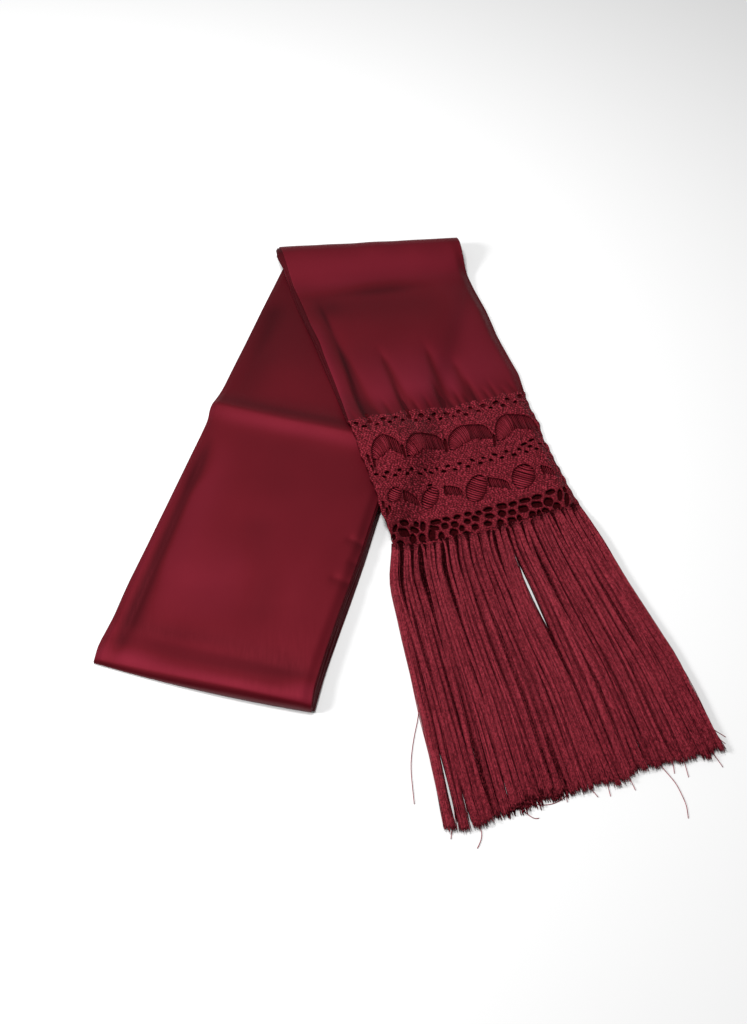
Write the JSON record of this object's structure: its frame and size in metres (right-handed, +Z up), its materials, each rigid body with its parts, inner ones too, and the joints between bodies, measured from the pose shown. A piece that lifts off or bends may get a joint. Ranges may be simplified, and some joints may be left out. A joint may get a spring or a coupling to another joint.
{
  "type": "folded rebozo shawl",
  "caption": "Woven rebozo shawl folded lengthwise into a strip, laid flat and turned over on itself, with a band of knotted lace and a long fringe at its visible end.",
  "frame": {"origin": "centre of the bounding box in plan, on the surface that the shawl lies on", "axes": "+Z is up from the surface, +X runs from the left leg's outer side to the fringe's side, and +Y points to the rolled top fold"},
  "size_m": [0.4974, 0.668, 0.018],
  "materials": {
    "cloth": "satin woven silk or rayon, deep burgundy",
    "folded_cloth": "the same cloth, in the hidden folds",
    "lace": "hand-knotted threads, burgundy",
    "fringe": "loose twisted threads, burgundy"
  },
  "bodies": {
    "root": {"left_stretch": "cloth", "left_folds": "folded_cloth", "right_stretch": "cloth", "right_folds": "folded_cloth", "lace_band": "lace", "fringe_top": "fringe", "fringe_under": "fringe"}
  },
  "joints": []
}
